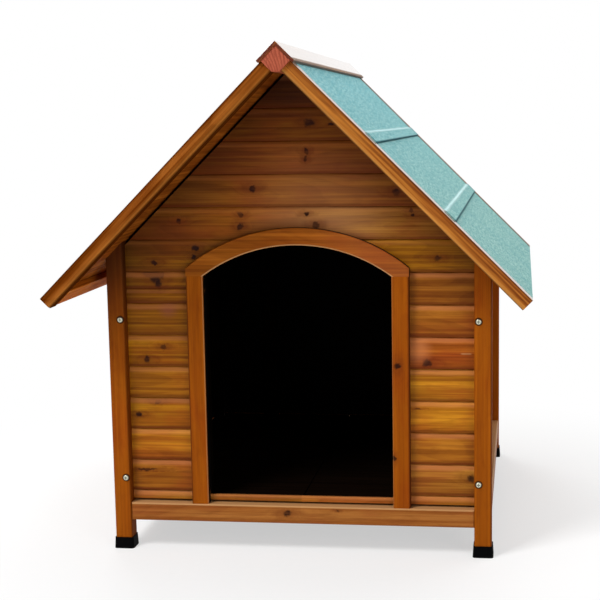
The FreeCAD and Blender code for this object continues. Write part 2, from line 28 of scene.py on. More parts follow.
# ---------------------------------------------------------------- places read from the frame
X, Y, Z = Vector((1, 0, 0)), Vector((0, 1, 0)), Vector((0, 0, 1))
LEG_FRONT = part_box("front_left_leg")[0].y
LEG_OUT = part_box("front_right_leg")[1].x
LEG_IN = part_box("front_right_leg")[0].x
RAIL_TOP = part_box("front_rail")[1].z
ROW_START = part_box("front_board_01")[0].z
ROW_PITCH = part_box("front_board_02")[0].z - ROW_START
BOARD_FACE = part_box("front_board_09")[0].y
DOOR_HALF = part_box("door_right_stile")[0].x
DOOR_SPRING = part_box("door_right_stile")[1].z
ARCH_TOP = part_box("door_arch_head")[1].z
TRIM_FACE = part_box("door_right_stile")[0].y
TRIM_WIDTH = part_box("door_right_stile")[1].x - DOOR_HALF
ARCH_RISE = ARCH_TOP - TRIM_WIDTH - DOOR_SPRING
ARCH_RADIUS = (DOOR_HALF ** 2 + ARCH_RISE ** 2) / (2 * ARCH_RISE)
ARCH_CENTRE = ARCH_TOP - TRIM_WIDTH - ARCH_RADIUS
BOLT_RADIUS = 0.006        # of a bolt's head
BOLT_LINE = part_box("leg_bolts")[1].x - BOLT_RADIUS
BOLT_HEIGHTS = (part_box("leg_bolts")[0].z + BOLT_RADIUS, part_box("leg_bolts")[1].z - BOLT_RADIUS)
FELT_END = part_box("right_roof_felt")[1].y
SLOPE = math.sqrt(0.5)     # sine and cosine of the roof's 45 degrees
DOWN_RIGHT = Vector((SLOPE, 0, -SLOPE))
OUT_RIGHT = Vector((SLOPE, 0, SLOPE))
DOWN_LEFT = Vector((-SLOPE, 0, -SLOPE))
OUT_LEFT = Vector((-SLOPE, 0, SLOPE))

# Grain of a piece: along it, across its face, and through its thickness.
ALONG_X = (X, Z, Y)
ALONG_Y = (Y, Z, X)
ALONG_Z = (Z, X, Y)
FLAT_ALONG_X = (X, Y, Z)
ALONG_RIGHT_SLOPE = (DOWN_RIGHT, OUT_RIGHT, Y)
ALONG_LEFT_SLOPE = (DOWN_LEFT, OUT_LEFT, Y)


def span(name, axis):
    """Lowest and highest reach of a node along any axis."""
    reach = [corner.co.dot(axis) for corner in nodes[name].data.vertices]
    return min(reach), max(reach)


# ---------------------------------------------------------------- camera
IMAGE_SIZE = 600                   # pixels
SENSOR = 36.0                      # millimetres
FOCAL_PIXELS = 1349.4
CENTRE_PIXEL = (349.9, 310.3)      # where the lens axis meets the image
CAMERA_PLACE = Vector((0.4582, LEG_FRONT - 2.7066, 0.9043))
CAMERA_YAW = -0.12755              # radians, as are the two below
CAMERA_PITCH = 0.14123
CAMERA_ROLL = 0.01332
CLIP_NEAR = 0.05
CLIP_FAR = 100


def make_camera():
    """The photo's camera, as fitted to the straight edges of the object."""
    data = bpy.data.cameras.new("camera")
    camera = bpy.data.objects.new("camera", data)
    bpy.context.scene.collection.objects.link(camera)
    level = math.cos(CAMERA_PITCH)
    heading = Vector((math.sin(CAMERA_YAW), math.cos(CAMERA_YAW), 0))
    forward = heading * level - Z * math.sin(CAMERA_PITCH)
    right = Vector((math.cos(CAMERA_YAW), -math.sin(CAMERA_YAW), 0))
    up = right.cross(forward)
    turned_right = right * math.cos(CAMERA_ROLL) - up * math.sin(CAMERA_ROLL)
    turned_up = right * math.sin(CAMERA_ROLL) + up * math.cos(CAMERA_ROLL)
    turn = Matrix((turned_right, turned_up, -forward)).transposed().to_4x4()
    camera.matrix_world = Matrix.Translation(CAMERA_PLACE) @ turn
    data.sensor_width = SENSOR
    data.lens = FOCAL_PIXELS * SENSOR / IMAGE_SIZE
    data.shift_x = (IMAGE_SIZE / 2 - CENTRE_PIXEL[0]) / IMAGE_SIZE
    data.shift_y = (CENTRE_PIXEL[1] - IMAGE_SIZE / 2) / IMAGE_SIZE
    data.clip_start = CLIP_NEAR
    data.clip_end = CLIP_FAR
    bpy.context.scene.camera = camera


# ---------------------------------------------------------------- shader helpers
def paint(red, green, blue):
    """Colour written as it should look, 0 to 255, turned into light values."""
    def light(value):
        part = value / 255
        return part / 12.92 if part <= 0.04045 else ((part + 0.055) / 1.055) ** 2.4
    return (light(red), light(green), light(blue), 1.0)


class Graph:
    """Short names for the shader nodes of one material."""

    def __init__(self, name):
        self.material = bpy.data.materials.new(name)
        self.material.use_nodes = True
        self.tree = self.material.node_tree
        self.tree.nodes.clear()
        source = self.node("TexCoord")
        self.place = source.outputs["Object"]
        self.normal = source.outputs["Normal"]

    def feed(self, socket, value):
        if isinstance(value, bpy.types.NodeSocket):
            self.tree.links.new(value, socket)
        else:
            socket.default_value = value

    def node(self, kind, inputs=None, **settings):
        made = self.tree.nodes.new("ShaderNode" + kind)
        for key, value in settings.items():
            setattr(made, key, value)
        for key, value in (inputs or {}).items():
            self.feed(made.inputs[key], value)
        return made

    def math(self, operation, *values):
        made = self.node("Math", operation=operation)
        for socket, value in zip(made.inputs, values):
            self.feed(socket, value)
        return made.outputs[0]

    def add(self, a, b):
        return self.math("ADD", a, b)

    def times(self, a, b):
        return self.math("MULTIPLY", a, b)

    def less(self, a, b):
        """a less b."""
        return self.math("SUBTRACT", a, b)

    def dot(self, vector, axis):
        made = self.node("VectorMath", {0: vector, 1: tuple(axis)}, operation="DOT_PRODUCT")
        return made.outputs["Value"]

    def vector(self, x, y, z=0.0):
        return self.node("CombineXYZ", {"X": x, "Y": y, "Z": z}).outputs[0]

    def length(self, *parts):
        made = self.node("VectorMath", {0: self.vector(*parts)}, operation="LENGTH")
        return made.outputs["Value"]

    def smooth(self, value, low, high):
        """0 at low, 1 at high, with a soft start and end; low may be the larger."""
        inputs = {"Value": value, "From Min": low, "From Max": high}
        return self.node("MapRange", inputs, interpolation_type="SMOOTHSTEP").outputs[0]

    def noise(self, vector, scale=1.0, detail=2.0, roughness=0.5):
        inputs = {"Vector": vector, "Scale": scale, "Detail": detail, "Roughness": roughness}
        return self.node("TexNoise", inputs).outputs["Fac"]

    def drawn_noise(self, place, along, across, detail, roughness=0.5):
        """Noise drawn out along the grain, with its own scale along and across it."""
        u, v, w = place
        run = self.vector(self.times(u, along), self.times(v, across), self.times(w, across))
        return self.noise(run, 1.0, detail, roughness)

    def mix(self, factor, a, b, blend="MIX"):
        made = self.node("Mix", data_type="RGBA", blend_type=blend)
        for index, value in ((0, factor), (6, a), (7, b)):
            self.feed(made.inputs[index], value)
        return made.outputs[2]

    def bump(self, height, distance, strength=1.0):
        inputs = {"Height": height, "Distance": distance, "Strength": strength}
        return self.node("Bump", inputs).outputs[0]

    def finish(self, colour, roughness, normal, coat, constants):
        """Principled surface; the constants go by the names of the shader's sockets."""
        inputs = {"Base Color": colour, "Roughness": roughness, "Normal": normal,
                  "Coat Weight": coat}
        shader = self.node("BsdfPrincipled", {**inputs, **constants})
        output = self.node("OutputMaterial")
        self.tree.links.new(shader.outputs[0], output.inputs[0])
        return self.material


# ---------------------------------------------------------------- wood
class Look:
    """Colours and finish of one kind of stained wood.

    The colours are those of its light, middle and dark streaks, of its reddish patches and of
    its sawn ends. Gaps are the distances between growth rings and between dark lines. A look
    with polish is smoother on its upward faces, and has its coat only there.
    """

    def __init__(self, light, middle, dark, red, end=None, ring_gap=0.0045, roughness=0.5,
                 coat=0.15, gloss=0.3, contrast=1.0, specular=0.08, polish=0.0,
                 line_gap=0.0059, line_share=0.34):
        self.light = paint(*light)
        self.middle = paint(*middle)
        self.dark = paint(*dark)
        self.red = paint(*red)
        self.end = paint(*(end or middle))
        self.ring_gap = ring_gap
        self.roughness = roughness
        self.coat = coat
        self.gloss = gloss
        self.contrast = contrast
        self.specular = specular
        self.polish = polish
        self.line_gap = line_gap
        self.line_share = line_share


BOARD_COLOURS = ((196, 130, 34), (156, 94, 16), (100, 44, 0), (158, 74, 22))
BOARDS = Look(*BOARD_COLOURS)
REAR_BOARDS = Look(*BOARD_COLOURS, coat=0.0, specular=0.01)
FRAME = Look((166, 88, 6), (148, 75, 0), (112, 46, 0), (138, 56, 0), ring_gap=0.006,
             contrast=0.6, roughness=0.62, coat=0.0)
ARCH = Look((188, 108, 28), (154, 84, 14), (110, 50, 2), (150, 66, 14), contrast=0.9,
            roughness=0.6, coat=0.0)
RAIL = Look((186, 120, 54), (156, 90, 32), (112, 54, 8), (152, 76, 32), contrast=0.8)
# The two verge looks below are a lighter and a darker copy of one wood; the darker one's colours
# are painted shade.
LIT_TRIM = Look((212, 140, 58), (156, 88, 22), (98, 42, 0), (138, 66, 12), end=(96, 34, 18),
                 coat=0.0, contrast=1.15, specular=0.12, polish=0.42, line_gap=0.0042,
                 line_share=0.45)
SHADED_TRIM = Look((168, 104, 44), (126, 68, 18), (78, 32, 0), (110, 50, 10), end=(96, 34, 18),
                 coat=0.0, contrast=1.15, roughness=0.8, specular=0.0, line_gap=0.0042,
                 line_share=0.45)
CAP = Look((212, 140, 58), (166, 98, 32), (112, 52, 6), (150, 78, 22), end=(78, 24, 14),
           coat=1.0, gloss=0.06, specular=0.2, polish=0.42, line_gap=0.0042, line_share=0.4)
BEAM = Look((190, 108, 70), (168, 84, 54), (120, 50, 32), (164, 66, 46), end=(174, 88, 64),
            roughness=0.6, coat=0.0)
EAVE = Look((216, 132, 38), (192, 104, 20), (138, 64, 4), (190, 90, 14), roughness=0.7,
            coat=0.0)
DECK = Look((166, 96, 28), (136, 72, 14), (84, 36, 2), (130, 56, 12), roughness=0.7, coat=0.0,
            specular=0.04)
# INNER and FLOOR are painted shade: the wood inside is made nearly black.
INNER = Look((14, 8, 4), (9, 5, 3), (4, 2, 1), (9, 4, 3), roughness=0.9, coat=0.0,
             specular=0.0)
FLOOR = Look((26, 16, 9), (19, 11, 6), (9, 5, 3), (18, 9, 5), roughness=0.9, coat=0.0,
             specular=0.0)

# Colours of the stains and tints, many of them painted shade and painted highlights.
# Painted shade: near black on inside faces, cut ends and sides that face into the doorway.
INSIDE_SHADE = paint(5, 3, 2)
KNOT_CORE = paint(44, 14, 0)
KNOT_HALO = paint(104, 42, 4)
# Painted shade along edges and sides turned away from the light.
EDGE_SHADE = paint(66, 22, 0)
# Painted shade on the down-slope edge faces of the ridge caps.
CAP_EDGE_SHADE = paint(70, 56, 42)
CAP_BORDER = paint(88, 68, 48)
# Painted shade on the undersides of the verge battens.
UNDERSIDE_SHADE = paint(44, 16, 2)
ROOF_SHADE = paint(30, 8, 0)
# Painted light: a pale pool on the gable over the doorway.
GABLE_LIGHT_POOL = paint(212, 156, 98)
LAP_SHADE = paint(92, 34, 0)
CROWN_LIGHT = paint(220, 138, 84)
PURPLE = paint(140, 74, 56)
ARCH_RED = paint(148, 74, 44)
# Wear and a painted highlight along edges that catch the light.
WORN_LIT_EDGE = paint(210, 164, 112)
# Painted highlight along the rounded lower edge of the verges' front faces.
GOLD_HIGHLIGHT = paint(222, 156, 72)
# A darker ring round each bolt head.
BOLT_RING_DARK = paint(34, 14, 2)
# Weathering and a painted sheen on the upward faces of verges and ridge caps.
BLEACH_AND_SHEEN = paint(234, 214, 190)

SHIFT_REACH = (13.0, 7.0, 5.0)     # random shift of the grain along, across and through
BOARD_STEP = 1.37                  # makes the random numbers of neighbouring boards differ
BOARD_LEVEL = 0.92                 # lowest brightness of a board
LEVEL_RANGE = 0.16                 # how much brighter the brightest may be
KNOT_CELLS = (5.0, 12.0)           # cells per metre for scattered knots, along and across
KNOT_CHANCE = 0.2                  # share of those cells that hold a knot
UPWARD = (0.5, 0.68)               # rise of a normal that starts to count as upward, and does
COAT_IOR = 1.25
GRAIN_DEPTH = 0.0007               # of the bump that fibres, rings and knots make
GRAIN_STRENGTH = 0.6               # of the same bump


def piece_shift(g, rows, seed):
    """Three random values for each board inside one node."""
    index = seed
    for weight, (axis, start, pitch) in enumerate(rows, 1):
        step = g.math("FLOOR", g.math("DIVIDE", g.less(g.dot(g.place, axis), start), pitch))
        index = g.math("MULTIPLY_ADD", step, weight * BOARD_STEP, index)
    dice = g.node("TexWhiteNoise", {"W": index}, noise_dimensions="1D")
    split = g.node("SeparateColor", {"Color": dice.outputs["Color"]})
    return split.outputs[0], split.outputs[1], split.outputs[2]


def knot_field(g, along, across, knots):
    """Core and halo of named knots (along, across, radius, stretch), with ragged outlines."""
    core = halo = 0.0
    if knots:
        rag = g.less(g.noise(g.place, 130.0, 3.0, 0.6), 0.5)
        tear = g.less(g.noise(g.place, 61.0, 2.0, 0.6), 0.5)
        along = g.add(along, g.times(tear, 0.016))
        across = g.add(across, g.times(rag, 0.011))
    for place_along, place_across, radius, stretch in knots:
        off_along = g.math("DIVIDE", g.less(along, place_along), stretch)
        off_across = g.less(across, place_across)
        far = g.length(off_along, off_across)
        core = g.math("MAXIMUM", core, g.smooth(far, radius * 1.08, radius * 0.5))
        smear = g.length(g.times(off_along, 0.45), off_across)
        halo = g.math("MAXIMUM", halo, g.smooth(smear, radius * 2.1, radius * 0.4))
    return core, halo


def random_knots(g, along, across, dice):
    """Core and halo of knots scattered over a board, about one in each metre of it."""
    rag = g.less(g.noise(g.place, 110.0, 3.0, 0.6), 0.5)
    spot = g.vector(g.times(g.add(along, g.times(dice, 9.0)), KNOT_CELLS[0]),
                    g.times(g.add(across, g.times(rag, 0.01)), KNOT_CELLS[1]))
    cells = g.node("TexVoronoi", {"Vector": spot, "Scale": 1.0, "Randomness": 1.0},
                   voronoi_dimensions="2D")
    pick = g.node("SeparateColor", {"Color": cells.outputs["Color"]}).outputs[0]
    chosen = g.math("LESS_THAN", pick, KNOT_CHANCE)
    far = cells.outputs["Distance"]
    core = g.times(g.smooth(far, 0.07, 0.03), chosen)
    halo = g.times(g.smooth(far, 0.2, 0.04), chosen)
    return core, halo


def growth_rings(g, place, halo, gap):
    """Late wood of the rings, by distance from a wandering pith behind the face."""
    u, v, w = place
    drift = g.drawn_noise(place, 1.3, 4.0, 2.0)
    sway = g.drawn_noise(place, 3.4, 16.0, 3.0)
    side = g.add(g.times(g.math("SINE", g.times(v, 31.0)), 0.022), g.times(drift, 0.03))
    depth = g.add(g.math("PINGPONG", g.add(w, g.times(u, 0.03)), 0.05), g.times(drift, 0.05))
    bend = g.add(g.times(sway, 1.3), g.times(halo, 1.1))
    turn = g.math("FRACT", g.add(g.math("DIVIDE", g.length(side, depth), gap), bend))
    return g.times(g.smooth(turn, 0.35, 0.9), g.smooth(turn, 1.0, 0.93))


def sawn_end(g, place, look, late):
    """Colour of a sawn end: the rings as arcs, with short scratches of the saw."""
    u, v, w = place
    run = g.vector(g.times(v, 40.0), g.times(w, 300.0), g.times(u, 20.0))
    saw = g.noise(run, 1.0, 3.0, 0.6)
    colour = g.mix(g.times(late, 0.55), look.end, look.dark)
    colour = g.mix(g.times(g.smooth(saw, 0.45, 0.7), 0.35), colour, look.dark)
    return g.mix(g.times(g.smooth(saw, 0.45, 0.25), 0.35), colour, look.light)


def wood(name, grain, look, seed=0.0, knots=(), rows=(), scatter=False, tints=(), casts=None,
         matt=None, painted_light=()):
    """Stained softwood: growth rings, fibres, patches, knots, end grain and a thin varnish.

    grain     axes along, across and through the piece
    seed      any number; pieces with the same one have the same figure
    knots     knots by place, or scatter for random ones
    rows      axis, start and pitch that tell the boards inside a node apart
    painted_light  painted light and shade: mask and colour of each, under the knots
    casts     colour factors left and right of the middle, and half the width between them
    tints     mask and colour of each, over everything
    matt      mask where a polished look stays dull
    """
    g = Graph(name)
    along, across, through = (g.dot(g.place, axis) for axis in grain)
    dice = piece_shift(g, rows, seed)
    place = [g.add(value, g.times(share, reach))
             for value, share, reach in zip((along, across, through), dice, SHIFT_REACH)]
    if scatter:
        core, halo = random_knots(g, along, across, dice[2])
    else:
        core, halo = knot_field(g, along, across, knots)
    late = growth_rings(g, place, halo, look.ring_gap)
    fibre = g.drawn_noise(place, 9.0, 420.0, 3.0, 0.6)
    lines = g.drawn_noise(place, 2.0, 1.0 / look.line_gap, 2.0)
    streak = g.drawn_noise(place, 2.2, 60.0, 3.0, 0.55)
    patch = g.drawn_noise(place, 5.0, 13.0, 3.0, 0.6)
    blotch = g.drawn_noise(place, 22.0, 60.0, 2.0, 0.6)

    deep = g.add(g.times(late, 0.2), g.times(g.smooth(streak, 0.42, 0.72), 0.3))
    deep = g.add(deep, g.times(g.smooth(lines, 0.48, 0.66), look.line_share))
    deep = g.times(deep, look.contrast)
    pale_line = g.times(g.smooth(lines, 0.46, 0.3), look.line_share + 0.06)
    colour = g.mix(g.times(g.smooth(streak, 0.54, 0.3), 0.7), look.middle, look.light)
    colour = g.mix(g.times(g.smooth(patch, 0.44, 0.66), 0.6), colour, look.red)
    colour = g.mix(deep, colour, look.dark)
    colour = g.mix(pale_line, colour, look.light)
    colour = g.mix(g.times(g.smooth(fibre, 0.45, 0.75), 0.3), colour, look.dark)
    colour = g.mix(g.times(g.smooth(blotch, 0.52, 0.75), 0.22), colour, look.dark)
    endwise = g.math("ABSOLUTE", g.dot(g.normal, grain[0]))
    colour = g.mix(g.smooth(endwise, 0.75, 0.9), colour, sawn_end(g, place, look, late))

    # Painted light and shade, laid under the knots.
    for mask, painted_colour in painted_light:
        colour = g.mix(mask(g), colour, painted_colour)
    relief = g.add(g.times(fibre, 0.4), g.add(g.times(late, 0.3), g.times(lines, 0.5)))
    if scatter or knots:
        mottle = g.math("MULTIPLY_ADD", g.smooth(blotch, 0.3, 0.6), 0.4, 0.6)
        colour = g.mix(g.times(halo, 0.5), colour, KNOT_HALO)
        colour = g.mix(g.times(core, mottle), colour, KNOT_CORE)
        relief = g.add(relief, g.times(core, -0.8))
    level = g.math("MULTIPLY_ADD", dice[1], LEVEL_RANGE, BOARD_LEVEL)
    grey = g.node("CombineColor", {0: level, 1: level, 2: level}).outputs[0]
    colour = g.mix(1.0, colour, grey, "MULTIPLY")
    if casts:
        left_cast, right_cast, soft = casts
        to_right = g.smooth(g.dot(g.place, X), -soft, soft)
        cast = g.mix(to_right, left_cast + (1.0,), right_cast + (1.0,))
        colour = g.mix(1.0, colour, cast, "MULTIPLY")
    for mask, tint in tints:
        colour = g.mix(mask(g), colour, tint)

    rough = g.math("MULTIPLY_ADD", fibre, 0.22, look.roughness - 0.09)
    coat = look.coat
    if look.polish:
        upward = g.smooth(g.dot(g.normal, Z), *UPWARD)
        if matt:
            upward = g.times(upward, g.less(1.0, matt(g)))
        rough = g.less(rough, g.times(upward, look.polish))
        relief = g.times(relief, g.math("MULTIPLY_ADD", upward, -0.9, 1.0))
        coat = g.times(upward, coat)
    return g.finish(colour, rough, g.bump(relief, GRAIN_DEPTH, GRAIN_STRENGTH), coat,
                    {"Specular IOR Level": look.specular, "Coat Roughness": look.gloss,
                     "Coat IOR": COAT_IOR})


# ---------------------------------------------------------------- masks for painted light and shade, stains and tints
def beyond(axis, start, end, share=1.0):
    """0 up to start along the axis, then rising to share at end."""
    return lambda g: g.times(g.smooth(g.dot(g.place, axis), start, end), share)


def facing(axis, low, high, share=1.0):
    """Where the surface faces along the axis."""
    return lambda g: g.times(g.smooth(g.dot(g.normal, axis), low, high), share)


def both(first, second):
    """Where both masks hold."""
    return lambda g: g.times(first(g), second(g))


def between(axis, low, high, soft, share=1.0):
    """A band across the axis, with soft borders outside it."""
    def mask(g):
        value = g.dot(g.place, axis)
        rise = g.smooth(value, low - soft, low)
        fall = g.smooth(value, high + soft, high)
        return g.times(g.times(rise, fall), share)
    return mask


def disc(x, z, inner, outer, share=1.0):
    """A round patch seen along Y, full up to inner and gone at outer."""
    def mask(g):
        far = g.length(g.less(g.dot(g.place, X), x), g.less(g.dot(g.place, Z), z))
        return g.times(g.smooth(far, outer, inner), share)
    return mask


def weathered_sheen(along, across, share):
    """Upper faces, paler in streaks that run along the piece: weathering and a painted sheen."""
    def mask(g):
        run = g.vector(g.times(g.dot(g.place, along), 6.0),
                       g.times(g.dot(g.place, across), 150.0))
        streaks = g.smooth(g.noise(run, 1.0, 3.0, 0.6), 0.3, 0.7)
        upward = g.smooth(g.dot(g.normal, Z), *UPWARD)
        return g.times(upward, g.math("MULTIPLY_ADD", streaks, share * 0.6, share * 0.4))
    return mask


def arch_edge(width, share):
    """Worn line and painted highlight along the lower edge of the arched head."""
    def mask(g):
        far = g.length(g.dot(g.place, X), g.less(g.dot(g.place, Z), ARCH_CENTRE))
        return g.times(g.smooth(far, ARCH_RADIUS + width, ARCH_RADIUS + width * 0.4), share)
    return mask


def lap_band(start, full, stop, gone, share):
    """A band in every row, as shares of the row's height above its lower edge."""
    def mask(g):
        row = g.math("FRACT", g.math("DIVIDE", g.less(g.dot(g.place, Z), ROW_START), ROW_PITCH))
        run = g.vector(g.times(g.dot(g.place, X), 30.0), g.times(g.dot(g.place, Y), 30.0))
        ripple = g.less(g.noise(run, 1.0, 2.0), 0.5)
        row = g.add(row, g.times(ripple, 0.05))
        return g.times(g.times(g.smooth(row, start, full), g.smooth(row, gone, stop)), share)
    return mask


ENDLESS = (2.0, 3.0)       # stop and gone of a band that holds up to the top of its row


def laps(shade, crown):
    """Painted shade: each row darker towards its lower edge, most at its lip, and a dark line
    under the lip above; a painted highlight on the rounded crown below that line.
    """
    return [
        (lap_band(0.42, 0.1, *ENDLESS, shade * 0.22), LAP_SHADE),
        (lap_band(0.12, 0.04, *ENDLESS, shade), LAP_SHADE),
        (lap_band(0.76, 0.88, 0.94, 0.99, crown), CROWN_LIGHT),
        (lap_band(0.97, 0.995, *ENDLESS, shade), LAP_SHADE),
    ]


LAPS = laps(0.7, 0.36)
GABLE_LAPS = laps(0.55, 0.12)
INSIDE_START = 0.0065      # depth behind the outer face where a wall board starts to darken
INSIDE_FULL = 0.009        # depth where it is as dark as the room
SHADE_REACH = 0.15         # how far below a roof slope its shade starts


def shade_inside(inward, face):
    """Painted shade on a wall's inner side; face is the place of its outer one, along inward."""
    return (beyond(inward, face + INSIDE_START, face + INSIDE_FULL), INSIDE_SHADE)


def slope_shade(side, share):
    """Painted shadow close under one roof slope."""
    outward = OUT_LEFT if side == "left" else OUT_RIGHT
    under = span(side + "_front_verge_batten", outward)[0]
    return (beyond(outward, under - SHADE_REACH, under + 0.01, share), ROOF_SHADE)


# ---------------------------------------------------------------- walls
def dress(name, material):
    """Gives a node its material."""
    piece = nodes[name]
    piece.data.materials.clear()
    piece.data.materials.append(material)


# The front wall's rows from the bottom: 0 is the narrow one, 1 to 6 are in two bays beside the
# doorway, 7 has one more seam in its left bay, and 8 to 13 are cut to the roof slopes.
FRONT_ROWS = 14
SEAM_ROW = 7
SEAM_SHARE = 0.47          # height of the seam in that row, as a share of the row
# Painted light: a pale pool of light on the gable rows over the doorway.
LIGHT_POOL_START = 9             # lowest row with the glow
LIGHT_POOL = (0.045, 0.715, 0.02, 0.20, 0.26)    # disc over the doorway: x, z, inner, outer, share
BAY_BLEND = 0.001          # half the width of the change from the left to the right shade
GABLE_BLEND = 0.2          # the same in the gable, where a row runs right across

# Knots of the front wall, by row: side position, height, radius and stretch along the board.
ROW_KNOTS = {
    1: [(0.3587, 0.1612, 0.0085, 1.3), (-0.3333, 0.1686, 0.0035, 7.0)],
    3: [(-0.3054, 0.3150, 0.005, 1.6), (-0.3465, 0.2884, 0.0065, 1.4),
        (0.2495, 0.3077, 0.003, 2.0)],
    5: [(-0.2872, 0.4324, 0.0065, 1.4), (-0.3240, 0.4073, 0.0095, 0.9),
        (0.2666, 0.4045, 0.009, 1.3)],
    7: [(-0.3014, 0.5837, 0.017, 0.9), (-0.2935, 0.5670, 0.014, 0.6),
        (-0.3140, 0.5890, 0.009, 2.4), (-0.2880, 0.5860, 0.009, 0.8)],
    8: [(-0.3034, 0.6118, 0.0065, 1.3), (0.2888, 0.6213, 0.008, 1.2),
        (-0.2150, 0.6425, 0.0075, 1.1), (-0.2172, 0.6241, 0.006, 0.9)],
    9: [(-0.2468, 0.6989, 0.0065, 1.3), (-0.1158, 0.7108, 0.0075, 0.8),
        (-0.1175, 0.6865, 0.009, 0.8), (0.0210, 0.7123, 0.0055, 1.2),
        (0.0419, 0.6886, 0.0095, 0.8), (0.2350, 0.7184, 0.006, 1.0),
        (0.2375, 0.7083, 0.005, 1.0)],
    10: [(-0.0905, 0.7636, 0.009, 1.1), (0.2062, 0.7550, 0.009, 1.1)],
    11: [(0.0212, 0.8391, 0.008, 0.6), (0.0209, 0.8240, 0.0075, 0.6)],
    12: [(0.0284, 0.8966, 0.010, 1.2), (0.075, 0.893, 0.0035, 1.6)],
}

# Colour factors of each row of the front wall, left and right of the doorway: partly the boards'
# own tones, partly painted shade, as the rows grow darker towards the roof on the whole, the top
# two most.
GOLDEN = (1.26, 1.32, 0.85)
YELLOW = (1.12, 1.16, 0.42)
TAN = (1.06, 0.99, 1.05)
PALE = (0.96, 1.04, 1.60)
PINK = (1.30, 1.40, 2.60)
SALMON = (0.80, 0.80, 1.10)
BROWN = (0.80, 0.70, 0.80)
OLIVE = (0.84, 0.84, 0.30)
MOSS = (0.72, 0.70, 0.22)
RUST = (0.80, 0.62, 0.66)
RED = (1.02, 0.74, 0.74)
# The last two are painted shade for the top rows under the roof.
UMBER_SHADE = (0.88, 0.74, 0.50)
TOP_ROW_SHADE = (0.52, 0.36, 0.24)
ROW_SHADES = {
    0: (SALMON, PINK), 1: (TAN, PALE), 2: (GOLDEN, TAN), 3: (YELLOW, GOLDEN),
    4: (GOLDEN, GOLDEN), 5: (YELLOW, RED), 6: (OLIVE, BROWN), 7: (OLIVE, BROWN),
    8: (MOSS, OLIVE), 9: (TAN, PALE), 10: (BROWN, BROWN), 11: (BROWN, RUST),
    12: (UMBER_SHADE, UMBER_SHADE), 13: (TOP_ROW_SHADE, TOP_ROW_SHADE),
}


def dress_front_boards():
    """Each row of the front wall has shades, knots and sometimes marks of its own."""
    seam = ROW_START + (SEAM_ROW - 1 + SEAM_SHARE) * ROW_PITCH
    left = beyond(-X, -BAY_BLEND, BAY_BLEND)
    bright_rim = both(between(X, 0.340, 0.354, 0.006), between(Z, 0.4236, 0.4246, 0.0018, 0.4))
    marks = {
        5: [(disc(0.2462, 0.4314, 0.006, 0.040, 0.4), CROWN_LIGHT), (bright_rim, WORN_LIT_EDGE)],
        6: [(disc(-0.2758, 0.5162, 0.004, 0.028, 0.6), PURPLE)],
        # Painted highlight and painted shade at the extra seam in the left bay.
        SEAM_ROW: [
            (both(left, between(Z, seam - 0.008, seam - 0.003, 0.004, 0.26)), CROWN_LIGHT),
            (both(left, between(Z, seam - 0.0012, seam + 0.003, 0.003, 0.75)), LAP_SHADE)],
    }
    # Painted light over the doorway, and painted shadow under the roof slopes.
    light_pool = [(disc(*LIGHT_POOL), GABLE_LIGHT_POOL)]
    shade = [slope_shade("left", 0.66), slope_shade("right", 0.42)]
    # Painted shade on the boards' cut ends, and across the doorway in rows 1 to 6.
    cut_ends = [(facing(way, 0.5, 0.8), INSIDE_SHADE) for way in (X, -X)]
    doorway = [(between(X, -DOOR_HALF - 0.006, DOOR_HALF + 0.006, 0.002), INSIDE_SHADE)]
    for row in range(FRONT_ROWS):
        gable = row > SEAM_ROW
        rows = [(Z, ROW_START, ROW_PITCH)]
        if not gable:
            rows.insert(0, (X, 0.0, 1.0))      # the bays are boards of their own
        painted_light = (light_pool if row >= LIGHT_POOL_START else []) + (shade if row >= SEAM_ROW else [])
        tints = marks.get(row, []) + (GABLE_LAPS if gable else LAPS) + cut_ends
        tints += [shade_inside(Y, BOARD_FACE)] + (doorway if 0 < row < SEAM_ROW else [])
        casts = ROW_SHADES[row] + (GABLE_BLEND if gable else BAY_BLEND,)
        dress("front_board_%02d" % row,
              wood("front_row_%02d" % row, ALONG_X, BOARDS, 1.7 * row + 3.1,
                   ROW_KNOTS.get(row, ()), rows, tints=tints, casts=casts, painted_light=painted_light))


def dress_other_walls():
    """Rear and side walls: one node each, with random knots."""
    rows = [(Z, ROW_START, ROW_PITCH)]
    rear_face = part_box("rear_wall_boards")[1].y
    dress("rear_wall_boards", wood("rear_rows", ALONG_X, REAR_BOARDS, 40.3, rows=rows,
                                   scatter=True, tints=LAPS + [shade_inside(-Y, -rear_face)]))
    for side, sign in (("left", -1), ("right", 1)):
        face = max(abs(corner.x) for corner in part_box(side + "_wall_boards"))
        dress(side + "_wall_boards",
              wood(side + "_rows", ALONG_Y, BOARDS, 50.9 + sign, rows=rows, scatter=True,
                   tints=LAPS + [shade_inside(-sign * X, -face)]))


# ---------------------------------------------------------------- frame and doorway
RAIL_KNOTS = [(-0.0282, 0.0843, 0.008, 1.3), (0.080, 0.092, 0.0035, 1.2)]
STILE_KNOTS = {"left": (), "right": [(0.4001, 0.2075, 0.009, 1.0), (0.2061, 0.1985, 0.006, 1.0)]}


